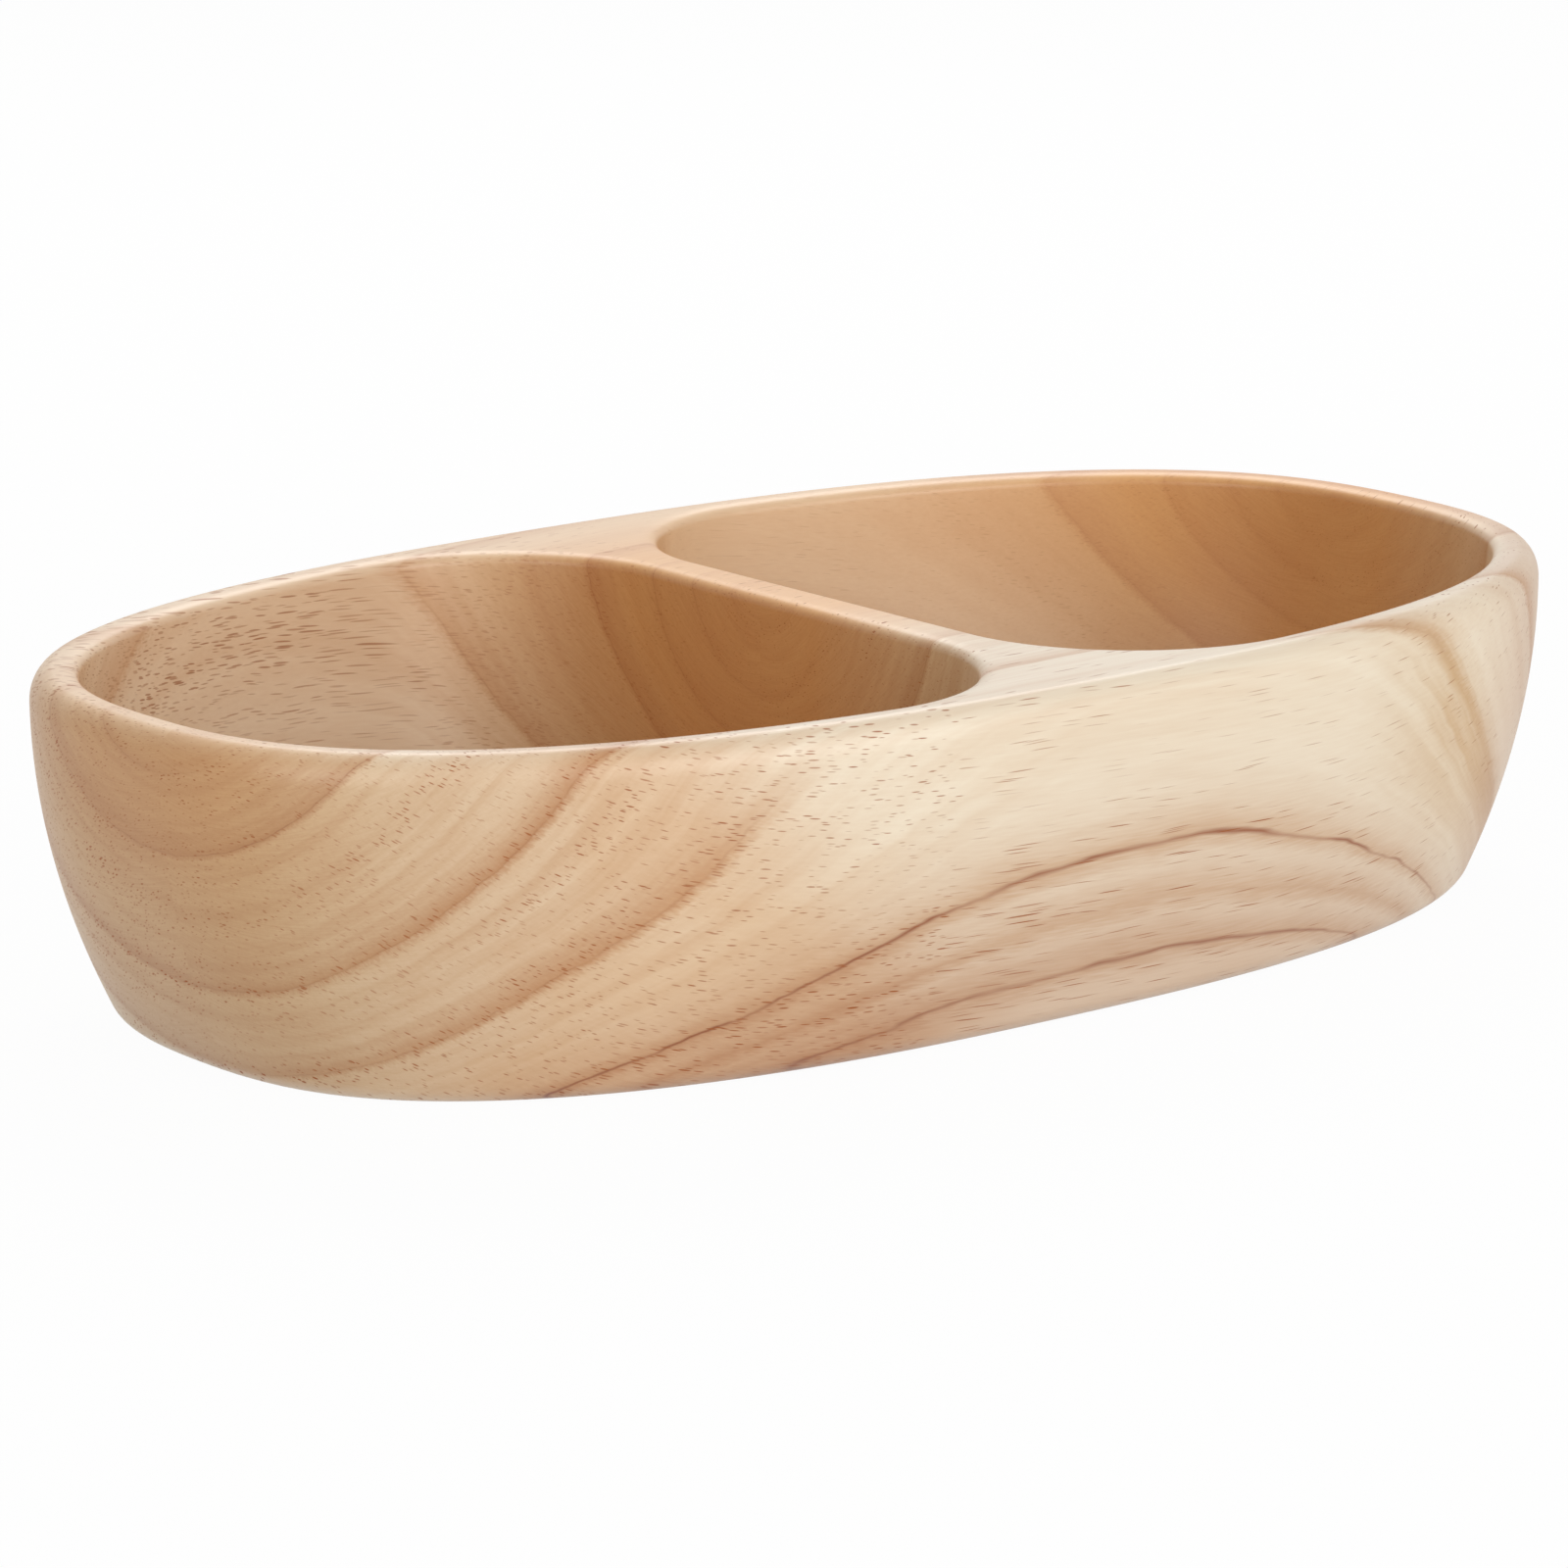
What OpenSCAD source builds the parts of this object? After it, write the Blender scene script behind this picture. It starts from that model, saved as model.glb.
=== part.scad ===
// Divided serving bowl, carved in one piece from a block of pale timber.
// An oval bowl with a soft rim, and a straight wall across its middle that
// parts it into two like compartments. Millimetres, resting on the plane z = 0,
// with the length along x and the dividing wall along y.

/* [Overall] */
// Length over the widest line of the two ends
bowl_length = 300; // [240:1:360]
// Width over the widest line of the two long sides
bowl_width = 172; // [150:1:210]
// Height from the resting face to the crown of the rim
bowl_height = 63; // [55:1:80]
// Fullness of the oval in plan, where 2 is an ellipse and more is squarer
oval_power = 2.5; // [2.2:0.05:3]

/* [Outer wall] */
// Depth of the widest line below the crown of the rim
crown_drop = 5.5; // [4:0.5:8]
// How far the outside draws in from the widest line to the crown
crown_inset = 4; // [3:0.1:4.2]
// How far the ends draw in from the widest line down to the foot
end_lean = 15; // [8:0.5:18]
// How far the long sides draw in from the widest line down to the foot
side_lean = 12.5; // [8:0.5:15]
// Radius where the wall turns under to the resting face
foot_round = 3.6; // [2:0.1:6]

/* [Compartments] */
// Thickness of the wall round the rim
wall_thickness = 8.6; // [8.2:0.1:14]
// How far the soft inner edges of the rim and of the dividing wall reach onto their tops
lip_reach = 3.8; // [2:0.1:3.9]
// How far the same soft edges reach down the walls
lip_drop = 2.2; // [1:0.1:4]
// Tightness of the soft edges, where 2 is a plain round and more turns more crisply
lip_power = 2.4; // [2:0.1:4]
// Thickness of the dividing wall at its top
divider_thickness = 10.5; // [8:0.1:20]
// How far each face of the dividing wall leans out from its top to the floor
divider_draft = 1.5; // [0:0.1:4]
// Radius in plan where the dividing wall runs out into the long sides
corner_radius = 35.5; // [31:0.5:42]
// Thickness of the floor
floor_thickness = 9; // [6:0.5:14]
// Radius where the inner walls turn into the floor
floor_fillet = 16; // [8:0.5:18]

/* [Smoothness] */
// Points round the whole outside
oval_steps = 96; // [48:4:112]
// Points round the oval stretch of one compartment
end_steps = 40; // [24:2:48]
// Points round each corner of one compartment
corner_steps = 10; // [6:1:12]
// Rings down each plain wall
wall_steps = 6; // [4:1:8]
// Rings round each edge and fillet
round_steps = 6; // [4:1:8]

/* [Hidden] */

half_length = bowl_length / 2;
half_width = bowl_width / 2;
widest_z = bowl_height - crown_drop;
lip_z = bowl_height - lip_drop;
fillet_z = floor_thickness + floor_fillet;
// How far a cutting solid runs on past the face that it opens
overrun = 2;
// Halvings that find where a corner meets the oval
halvings = 24;

// Power of a number that keeps its sign
function signed_power(v, power) = sign(v) * pow(abs(v), power);

// Place on the widest line at a turn of a degrees
function oval_point(a) = [
    half_length * signed_power(cos(a), 2 / oval_power),
    half_width * signed_power(sin(a), 2 / oval_power)
];

// Direction straight out of the widest line at that turn
function oval_outward(a) =
    let (slope = [
        signed_power(cos(a), 2 - 2 / oval_power) / half_length,
        signed_power(sin(a), 2 - 2 / oval_power) / half_width
    ])
    slope / norm(slope);

// How far the ends and the long sides have drawn in at height z
function lean(z) = [end_lean, side_lean] * pow(max(0, 1 - z / widest_z), 2);

// The same outline moved straight inwards by a depth, and by the lean of height z
function inner_point(a, z, depth) =
    let (out = oval_outward(a), move = lean(z) + [depth, depth])
    oval_point(a) - [move.x * out.x, move.y * out.y];

// Heights of the outside, each with how far its rounded edges cut in
outer_levels = concat(
    [for (i = [0:round_steps - 1]) let (a = 90 * i / round_steps)
        [foot_round * (1 - cos(a)), foot_round * (1 - sin(a))]],
    [for (i = [0:wall_steps - 1])
        [foot_round + (widest_z - foot_round) * i / wall_steps, 0]],
    [for (i = [0:round_steps]) let (a = 90 * i / round_steps)
        [widest_z + crown_drop * sin(a), crown_inset * (1 - cos(a))]]
);

// Heights of a compartment from its floor up, each with how far the fillet or the lip moves it in
inner_levels = concat(
    [for (i = [0:round_steps - 1]) let (a = 90 * i / round_steps)
        [floor_thickness + floor_fillet * (1 - cos(a)), floor_fillet * (1 - sin(a))]],
    [for (i = [0:wall_steps - 1])
        [fillet_z + (lip_z - fillet_z) * i / wall_steps, 0]],
    [for (i = [0:round_steps]) let (a = 90 * i / round_steps)
        [lip_z + lip_drop * pow(sin(a), 2 / lip_power), -lip_reach * (1 - pow(cos(a), 2 / lip_power))]],
    [[bowl_height + overrun, -lip_reach]]
);

// Place of the dividing wall's face at height z
function divider_face(z, depth) =
    divider_thickness / 2 + depth
    + divider_draft * min(1, (bowl_height - z) / (bowl_height - floor_thickness));

// Radius of a compartment's corner at height z
function corner_at(z, depth) = corner_radius - depth - lean(z).y;

// Centre of a corner that touches the oval stretch at turn a
function corner_centre(a, z, depth) =
    inner_point(a, z, wall_thickness + depth + corner_at(z, depth));

// Turn at which the corner touches both the oval stretch and the dividing wall
function corner_turn(z, depth, low = 0, high = 90, left = halvings) =
    let (middle = (low + high) / 2)
    left == 0 ? middle
    : corner_centre(middle, z, depth).x > divider_face(z, depth) + corner_at(z, depth)
    ? corner_turn(z, depth, middle, high, left - 1)
    : corner_turn(z, depth, low, middle, left - 1);

// Outline of the compartment on the +x side: front corner, oval stretch, back corner
function compartment_ring(level) =
    let (
        z = level[0],
        depth = level[1],
        turn = corner_turn(z, depth),
        radius = corner_at(z, depth),
        centre = corner_centre(turn, z, depth),
        out = oval_outward(turn),
        meet = atan2(out.y, out.x),
        corner = [for (i = [0:corner_steps]) let (a = 180 + (meet - 180) * i / corner_steps)
            centre + radius * [cos(a), sin(a)]],
        stretch = [for (i = [1:end_steps - 1])
            inner_point(turn * (2 * i / end_steps - 1), z, wall_thickness + depth)]
    )
    concat(
        [for (p = corner) [p.x, -p.y, z]],
        [for (p = stretch) [p.x, p.y, z]],
        [for (i = [0:corner_steps]) let (p = corner[corner_steps - i]) [p.x, p.y, z]]
    );

// Outline of the outside at one level
function outer_ring(level) =
    [for (i = [0:oval_steps - 1])
        let (p = inner_point(360 * i / oval_steps, level[0], level[1]))
        [p.x, p.y, level[0]]];

// Closed solid through a stack of like rings, each counter-clockwise from above
module loft(rings) {
    count = len(rings[0]);
    last = len(rings) - 1;
    sides = [
        for (k = [0:last - 1], i = [0:count - 1])
            let (next = (i + 1) % count, low = k * count, high = low + count)
            for (face = [[low + i, high + i, low + next], [low + next, high + i, high + next]])
                face
    ];
    under = [for (i = [0:count - 1]) i];
    over = [for (i = [0:count - 1]) (last + 1) * count - 1 - i];
    polyhedron(
        points = [for (ring = rings, p = ring) p],
        faces = concat([under], sides, [over])
    );
}

// The block with its outside shaped
module outside() {
    loft([for (level = outer_levels) outer_ring(level)]);
}

// The hollow on the +x side
module compartment() {
    loft([for (level = inner_levels) compartment_ring(level)]);
}

module bowl_body() {
    color("#dfbd92")
    difference() {
        outside();
        compartment();
        mirror([1, 0, 0]) compartment();
    }
}

bowl_body();
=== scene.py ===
import math
from types import SimpleNamespace

import bpy
from bpy.props import FloatProperty, FloatVectorProperty, PointerProperty
from mathutils import Matrix, Vector


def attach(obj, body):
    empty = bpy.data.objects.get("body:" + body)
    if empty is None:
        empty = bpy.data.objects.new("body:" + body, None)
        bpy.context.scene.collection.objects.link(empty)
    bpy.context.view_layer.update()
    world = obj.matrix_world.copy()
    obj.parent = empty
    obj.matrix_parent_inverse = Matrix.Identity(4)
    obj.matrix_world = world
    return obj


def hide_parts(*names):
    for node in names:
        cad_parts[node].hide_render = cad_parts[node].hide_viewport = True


bl_info = {
    "name": "Divided Serving Bowl",
    "version": (1, 0, 0),
    "blender": (4, 5, 0),
    "location": "3D View > Sidebar > Bowl",
    "description": "Carves a two-compartment timber serving bowl and sets its studio",
    "category": "Add Mesh",
}

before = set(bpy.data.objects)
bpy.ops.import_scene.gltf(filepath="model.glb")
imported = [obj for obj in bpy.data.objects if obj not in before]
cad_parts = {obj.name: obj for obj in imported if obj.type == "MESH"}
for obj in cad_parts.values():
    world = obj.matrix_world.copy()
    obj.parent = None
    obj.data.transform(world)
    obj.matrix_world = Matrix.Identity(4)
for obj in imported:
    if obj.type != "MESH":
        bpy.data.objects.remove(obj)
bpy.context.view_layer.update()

MATH = "ShaderNodeMath"
VECTORS = "ShaderNodeVectorMath"
RANGE = "ShaderNodeMapRange"
COMBINE = "ShaderNodeCombineXYZ"
SEPARATE = "ShaderNodeSeparateXYZ"
MIX = "ShaderNodeMix"
# The Mix node's two sockets for vectors and its two for colours
VECTOR_A, VECTOR_B, COLOUR_A, COLOUR_B = 4, 5, 6, 7
MAPPING = "ShaderNodeMapping"
GROUP = "GeometryNodeGroup"
FLOAT = "NodeSocketFloat"
VECTOR = "NodeSocketVector"

MM = 0.001
# Curves along the tree and the fibres are given in lengths of 100 mm
HUNDREDTH = 0.01
QUARTER_TURN = math.pi / 2

# Points round a quarter of the bowl, in stretches that meet where the form changes
END_STEPS = 64
WEB_STEPS = 24
CORNER_STEPS = 16
FACE_STEPS = 18
# Rows of the outside, from the middle of the underside up to the crown
UNDER_ROWS = 10
FOOT_ROWS = 8
WALL_ROWS = 22
CROWN_ROWS = 12
# Rows of the inside, from the crown in over the lip and down to the middle of the floor
TOP_ROWS = 8
LIP_ROWS = 12
INNER_ROWS = 14
FILLET_ROWS = 14
FLOOR_ROWS = 10
# Where the rows of a compartment's floor meet, as a share of half the length
FLOOR_MIDDLE = 0.44
# How often the range of turns is halved to find a corner
HALVINGS = 24
# Points this close are one, where the mirrored quarters meet
MERGE = 0.002 * MM


def linear(code):
    """Turns an sRGB hex colour into the linear colour that a shader's socket takes."""
    parts = [int(code[i:i + 2], 16) / 255 for i in (1, 3, 5)]
    return [c / 12.92 if c <= 0.04045 else ((c + 0.055) / 1.055) ** 2.4 for c in parts] + [1.0]


def length(name, description, millimetres):
    """A length that the panel shows, given in millimetres."""
    return FloatProperty(
        name=name, description=description, default=millimetres * MM,
        subtype="DISTANCE", unit="LENGTH", precision=4)


def colour(name, description, code):
    """A colour that the panel shows, given as sRGB hex."""
    return FloatVectorProperty(
        name=name, description=description, default=linear(code),
        subtype="COLOR", size=4, min=0, max=1)


class BowlSizes(bpy.types.PropertyGroup):
    """Sizes of the carving"""
    bowl_length: length("Length", "Over the widest line of the two ends", 300)
    bowl_width: length("Width", "Over the widest line of the long sides", 172)
    bowl_height: length("Height", "From the resting face to the crown of the rim", 63)
    oval_power: FloatProperty(
        name="Oval Power", description="Fullness of the oval in plan, where 2 is an ellipse",
        default=2.5, min=2, max=3)
    crown_drop: length("Crown Drop", "Depth of the widest line below the crown", 5.5)
    crown_inset: length("Crown Inset", "How far the outside draws in up to the crown", 4)
    end_lean: length("End Lean", "How far the ends draw in down to the foot", 15)
    side_lean: length("Side Lean", "How far the long sides draw in down to the foot", 12.5)
    foot_round: length("Foot Round", "Radius where the wall turns under", 3.6)
    wall_thickness: length("Wall Thickness", "Thickness round the rim", 8.6)
    lip_reach: length("Lip Reach", "How far the soft inner edges reach onto the tops", 3.8)
    lip_drop: length("Lip Drop", "How far the soft inner edges reach down the walls", 2.2)
    lip_power: FloatProperty(
        name="Lip Power", description="Tightness of the soft inner edges, where 2 is a plain round",
        default=2.4, min=2, max=4)
    divider_thickness: length("Divider Thickness", "Thickness of the dividing wall", 10.5)
    divider_draft: length("Divider Draft", "How far the dividing wall's faces lean out", 1.5)
    corner_radius: length("Corner Radius", "Where the dividing wall meets the sides", 35.5)
    floor_thickness: length("Floor Thickness", "Thickness of the floor", 9)
    floor_fillet: length("Floor Fillet", "Radius where the walls turn into the floor", 16)


class TimberLook(bpy.types.PropertyGroup):
    """Colours and grain of the lacquered timber"""
    pale_wood: colour("Pale Wood", "Young wood between the growth lines", "#e5d9c4")
    straw_wood: colour("Straw Wood", "Warmer clouds in the young wood", "#d5b897")
    tan_tint: colour("Tan Tint", "Multiplies the mottled wood at the right end", "#e2caa8")
    heart_tint: colour("Heart Tint", "Multiplies the far wood near the tree's middle", "#ffd4a2")
    # This tint is partly the paler wood far out in the tree and partly a painted sheen of light on
    # the outward faces of the right end
    outer_and_sheen_tint: colour("Outer Tint", "Multiplies the wood far out in the tree", "#ede1dc")
    end_tint: colour("End Grain Tint", "Multiplies the wood cut square across", "#d7c6ae")
    late_tint: colour("Late Wood Tint", "Multiplies the wood towards a ring's end", "#d2a36b")
    line_tint: colour("Growth Line Tint", "Multiplies the thin line that ends a ring", "#b26e36")
    pore_colour: colour("Pores", "Open vessels filled with lacquer and dust", "#924b0f")
    pore_spacing: length("Pore Spacing", "Up the grain, between neighbouring vessels", 0.48)
    pore_width: length("Pore Width", "Of the widest vessels", 0.29)
    roughness: FloatProperty(
        name="Roughness", description="Roughness of the sanded satin lacquer",
        default=0.4, min=0, max=1, subtype="FACTOR")


def add(tree, kind, given=(), **settings):
    """Adds a node with its settings. Each given value is set on the input that it stands for, or
    linked to it where the value is a socket or a node."""
    node = tree.nodes.new(kind)
    for name, value in settings.items():
        setattr(node, name, value)
    for key, value in (given.items() if isinstance(given, dict) else enumerate(given)):
        if isinstance(value, bpy.types.Node):
            value = next(socket for socket in value.outputs if socket.enabled)
        if isinstance(value, bpy.types.NodeSocket):
            tree.links.new(value, node.inputs[key])
        elif value is not None:
            node.inputs[key].default_value = value
    return node


def new_group(name, inputs, outputs):
    """Starts a geometry node group with its named inputs and outputs."""
    tree = bpy.data.node_groups.new(name, "GeometryNodeTree")
    for label, kind in inputs.items():
        tree.interface.new_socket(name=label, in_out="INPUT", socket_type=kind)
    for label, kind in outputs.items():
        tree.interface.new_socket(name=label, in_out="OUTPUT", socket_type=kind)
    return tree, tree.nodes.new("NodeGroupInput").outputs


def give(tree, made):
    """Links what a group has made to its outputs."""
    add(tree, "NodeGroupOutput", made)


# What every outline of the bowl is worked out from
SHAPE = {"Half Size": VECTOR, "Oval Power": FLOAT, "Lean": VECTOR, "Widest Height": FLOAT}


def outline_group():
    """A place on the bowl's oval at a turn and a height, moved straight inwards by a depth."""
    tree, given = new_group(
        "Bowl outline",
        {"Turn": FLOAT, "Height": FLOAT, "Depth": FLOAT, **SHAPE},
        {"Place": VECTOR, "Outward": VECTOR, "Lean Here": VECTOR})
    share = add(tree, MATH, [given["Height"], given["Widest Height"]], operation="DIVIDE")
    left = add(tree, MATH, [1, share], operation="SUBTRACT", use_clamp=True)
    square = add(tree, MATH, [left, left], operation="MULTIPLY")
    lean = add(tree, VECTORS, {0: given["Lean"], "Scale": square}, operation="SCALE")
    across = add(tree, MATH, [given["Turn"]], operation="COSINE", use_clamp=True)
    along = add(tree, MATH, [given["Turn"]], operation="SINE", use_clamp=True)
    circle = add(tree, COMBINE, [across, along])
    bulge = add(tree, MATH, [2, given["Oval Power"]], operation="DIVIDE")
    slope_power = add(tree, MATH, [2, bulge], operation="SUBTRACT")
    oval = add(tree, VECTORS, [circle, bulge], operation="POWER")
    place = add(tree, VECTORS, [oval, given["Half Size"]], operation="MULTIPLY")
    slope = add(tree, VECTORS, [circle, slope_power], operation="POWER")
    steep = add(tree, VECTORS, [slope, given["Half Size"]], operation="DIVIDE")
    outward = add(tree, VECTORS, [steep], operation="NORMALIZE")
    move = add(tree, VECTORS, [lean, given["Depth"]], operation="ADD")
    shift = add(tree, VECTORS, [outward, move], operation="MULTIPLY")
    moved = add(tree, VECTORS, [place, shift], operation="SUBTRACT")
    give(tree, {"Place": moved, "Outward": outward, "Lean Here": lean})
    return tree


def corner_group(outline):
    """The round corner of a compartment at a height: it touches the dividing wall and the oval."""
    tree, given = new_group(
        "Compartment corner",
        {"Height": FLOAT, "Depth": FLOAT, "Bowl Height": FLOAT, "Wall Thickness": FLOAT,
         "Divider Thickness": FLOAT, "Divider Draft": FLOAT, "Corner Radius": FLOAT,
         "Floor Thickness": FLOAT, **SHAPE},
        {"Turn": FLOAT, "Centre": VECTOR, "Radius": FLOAT, "Meet": FLOAT})
    shape = {name: given[name] for name in SHAPE}
    hollow = add(tree, MATH, [given["Bowl Height"], given["Floor Thickness"]], operation="SUBTRACT")
    down = add(tree, MATH, [given["Bowl Height"], given["Height"]], operation="SUBTRACT")
    share = add(tree, MATH, [down, hollow], operation="DIVIDE", use_clamp=True)
    half = add(
        tree, MATH, [given["Divider Thickness"], 0.5, given["Depth"]], operation="MULTIPLY_ADD")
    face = add(tree, MATH, [given["Divider Draft"], share, half], operation="MULTIPLY_ADD")
    level = add(tree, GROUP, {"Height": given["Height"], **shape}, node_tree=outline)
    lean = add(tree, SEPARATE, [level.outputs["Lean Here"]])
    shrunk = add(tree, MATH, [given["Corner Radius"], given["Depth"]], operation="SUBTRACT")
    radius = add(tree, MATH, [shrunk, lean.outputs["Y"]], operation="SUBTRACT")
    target = add(tree, MATH, [face, radius], operation="ADD")
    inset = add(tree, MATH, [given["Wall Thickness"], given["Depth"]], operation="ADD")
    depth = add(tree, MATH, [inset, radius], operation="ADD")

    # Halves the range of turns until the corner's centre stands its radius off the dividing wall
    start = tree.nodes.new("GeometryNodeRepeatInput")
    stop = tree.nodes.new("GeometryNodeRepeatOutput")
    start.pair_with_output(stop)
    stop.repeat_items.clear()
    stop.repeat_items.new("FLOAT", "Low")
    stop.repeat_items.new("FLOAT", "High")
    start.inputs["Iterations"].default_value = HALVINGS
    start.inputs["High"].default_value = QUARTER_TURN
    both = add(tree, MATH, [start.outputs["Low"], start.outputs["High"]], operation="ADD")
    middle = add(tree, MATH, [both, 0.5], operation="MULTIPLY")
    tried = add(
        tree, GROUP,
        {"Turn": middle, "Height": given["Height"], "Depth": depth, **shape}, node_tree=outline)
    reach = add(tree, SEPARATE, [tried])
    beyond = add(tree, MATH, [reach, target], operation="GREATER_THAN")
    for name, choices in (
            ("Low", [beyond, start.outputs["Low"], middle]),
            ("High", [beyond, middle, start.outputs["High"]])):
        picked = add(tree, "GeometryNodeSwitch", choices, input_type="FLOAT")
        tree.links.new(picked.outputs[0], stop.inputs[name])

    turn = stop.outputs["Low"]
    found = add(
        tree, GROUP,
        {"Turn": turn, "Height": given["Height"], "Depth": depth, **shape}, node_tree=outline)
    outward = add(tree, SEPARATE, [found.outputs["Outward"]])
    meet = add(tree, MATH, [outward.outputs["Y"], outward.outputs["X"]], operation="ARCTAN2")
    give(tree, {"Turn": turn, "Centre": found, "Radius": radius, "Meet": meet})
    return tree


def spans(tree, count, steps):
    """Splits a count into stretches, each of which runs from 0 to 1 in its own turn."""
    made = []
    start = 0
    for step in steps:
        made.append(add(tree, RANGE, [count, start, start + step, 0, 1]))
        start += step
    return made


def sheet(tree, columns, rows):
    """A flat sheet of quads, with the count of each point across it and up it."""
    grid = add(tree, "GeometryNodeMeshGrid", [columns, rows, columns + 1, rows + 1])
    place = add(tree, SEPARATE, [add(tree, "GeometryNodeInputPosition")])
    across = add(tree, MATH, [place.outputs["X"], columns / 2], operation="ADD")
    up = add(tree, MATH, [place.outputs["Y"], rows / 2], operation="ADD")
    return grid, across, up


def arc(tree, share):
    """Sine and cosine part of the way round a quarter turn."""
    turn = add(tree, MATH, [share, QUARTER_TURN], operation="MULTIPLY")
    return [
        add(tree, MATH, [turn], operation=wave, use_clamp=True) for wave in ("SINE", "COSINE")]


def carving_group(names):
    """The whole bowl: a quarter of its outside and of one compartment, then mirrored twice."""
    inputs = {name: FLOAT for name in names}
    inputs["Timber"] = "NodeSocketMaterial"
    tree, given = new_group("Carved divided bowl", inputs, {"Mesh": "NodeSocketGeometry"})
    outline = outline_group()
    corner = corner_group(outline)

    half_length = add(tree, MATH, [given["Length"], 0.5], operation="MULTIPLY")
    half_width = add(tree, MATH, [given["Width"], 0.5], operation="MULTIPLY")
    half_size = add(tree, COMBINE, [half_length, half_width])
    lean = add(tree, COMBINE, [given["End Lean"], given["Side Lean"]])
    widest = add(tree, MATH, [given["Height"], given["Crown Drop"]], operation="SUBTRACT")
    shape = {
        "Half Size": half_size, "Oval Power": given["Oval Power"],
        "Lean": lean, "Widest Height": widest}
    hollow = {
        "Bowl Height": given["Height"], **shape,
        **{name: given[name] for name in (
            "Wall Thickness", "Divider Thickness", "Divider Draft", "Corner Radius",
            "Floor Thickness")}}
    lip_in = add(tree, MATH, [given["Lip Reach"], -1], operation="MULTIPLY")
    lip_curve = add(tree, MATH, [2, given["Lip Power"]], operation="DIVIDE")

    # The outside: round a quarter of the oval, and from the middle of the underside to the crown
    columns = [END_STEPS, WEB_STEPS]
    rows = [UNDER_ROWS, FOOT_ROWS, WALL_ROWS, CROWN_ROWS]
    grid, across, up = sheet(tree, sum(columns), sum(rows))
    ends, web = spans(tree, across, columns)
    under, foot, wall, crown = spans(tree, up, rows)
    top_corner = add(
        tree, GROUP, {"Height": given["Height"], "Depth": lip_in, **hollow},
        node_tree=corner)
    end_turn = add(tree, MATH, [top_corner, ends], operation="MULTIPLY")
    turn = add(tree, MIX, [web, None, end_turn, QUARTER_TURN])
    foot_reach, foot_rise = arc(tree, foot)
    foot_left = add(tree, MATH, [1, foot_rise], operation="SUBTRACT")
    foot_height = add(tree, MATH, [foot_left, given["Foot Round"]], operation="MULTIPLY")
    foot_short = add(tree, MATH, [1, foot_reach], operation="SUBTRACT")
    foot_depth = add(tree, MATH, [foot_short, given["Foot Round"]], operation="MULTIPLY")
    plain = add(tree, MATH, [widest, given["Foot Round"]], operation="SUBTRACT")
    wall_height = add(tree, MATH, [wall, plain, foot_height], operation="MULTIPLY_ADD")
    crown_rise, crown_out = arc(tree, crown)
    height = add(
        tree, MATH, [crown_rise, given["Crown Drop"], wall_height], operation="MULTIPLY_ADD")
    crown_short = add(tree, MATH, [1, crown_out], operation="SUBTRACT")
    depth = add(
        tree, MATH, [crown_short, given["Crown Inset"], foot_depth], operation="MULTIPLY_ADD")
    ring = add(
        tree, GROUP, {"Turn": turn, "Height": height, "Depth": depth, **shape},
        node_tree=outline)
    level = add(tree, VECTORS, {0: ring, "Scale": under}, operation="SCALE")
    lift = add(tree, COMBINE, [0, 0, height])
    place = add(tree, VECTORS, [level, lift], operation="ADD")
    outside = add(tree, "GeometryNodeSetPosition", {"Geometry": grid, "Position": place})

    # The inside: round one compartment, and from the crown in over the lip and down to its floor
    columns = [END_STEPS, WEB_STEPS, CORNER_STEPS, FACE_STEPS]
    rows = [TOP_ROWS, LIP_ROWS, INNER_ROWS, FILLET_ROWS, FLOOR_ROWS]
    grid, across, down = sheet(tree, sum(columns), sum(rows))
    ends, web, bend, face = spans(tree, across, columns)
    top, lip, wall, fillet, floor = spans(tree, down, rows)
    lip_sine, lip_cosine = arc(tree, lip)
    lip_rise = add(tree, MATH, [lip_cosine, lip_curve], operation="POWER")
    lip_run = add(tree, MATH, [lip_sine, lip_curve], operation="POWER")
    lip_foot = add(tree, MATH, [given["Height"], given["Lip Drop"]], operation="SUBTRACT")
    lip_height = add(tree, MATH, [lip_rise, given["Lip Drop"], lip_foot], operation="MULTIPLY_ADD")
    lip_short = add(tree, MATH, [lip_run, 1], operation="SUBTRACT")
    lip_depth = add(tree, MATH, [lip_short, given["Lip Reach"]], operation="MULTIPLY")
    fillet_top = add(tree, MATH, [given["Floor Thickness"], given["Floor Fillet"]], operation="ADD")
    plain = add(tree, MATH, [fillet_top, lip_foot], operation="SUBTRACT")
    wall_height = add(tree, MATH, [wall, plain, lip_height], operation="MULTIPLY_ADD")
    fillet_drop, fillet_cosine = arc(tree, fillet)
    fillet_down = add(tree, MATH, [fillet_drop, given["Floor Fillet"]], operation="MULTIPLY")
    height = add(tree, MATH, [wall_height, fillet_down], operation="SUBTRACT")
    fillet_in = add(tree, MATH, [1, fillet_cosine], operation="SUBTRACT")
    depth = add(tree, MATH, [fillet_in, given["Floor Fillet"], lip_depth], operation="MULTIPLY_ADD")
    round_corner = add(
        tree, GROUP, {"Height": height, "Depth": depth, **hollow}, node_tree=corner)
    meet = round_corner.outputs["Meet"]
    radius = round_corner.outputs["Radius"]
    centre = add(tree, SEPARATE, [round_corner.outputs["Centre"]])

    # The stretch along the oval
    end_turn = add(tree, MATH, [round_corner, ends], operation="MULTIPLY")
    inset = add(tree, MATH, [given["Wall Thickness"], depth], operation="ADD")
    ring = add(
        tree, GROUP, {"Turn": end_turn, "Height": height, "Depth": inset, **shape},
        node_tree=outline)

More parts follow.
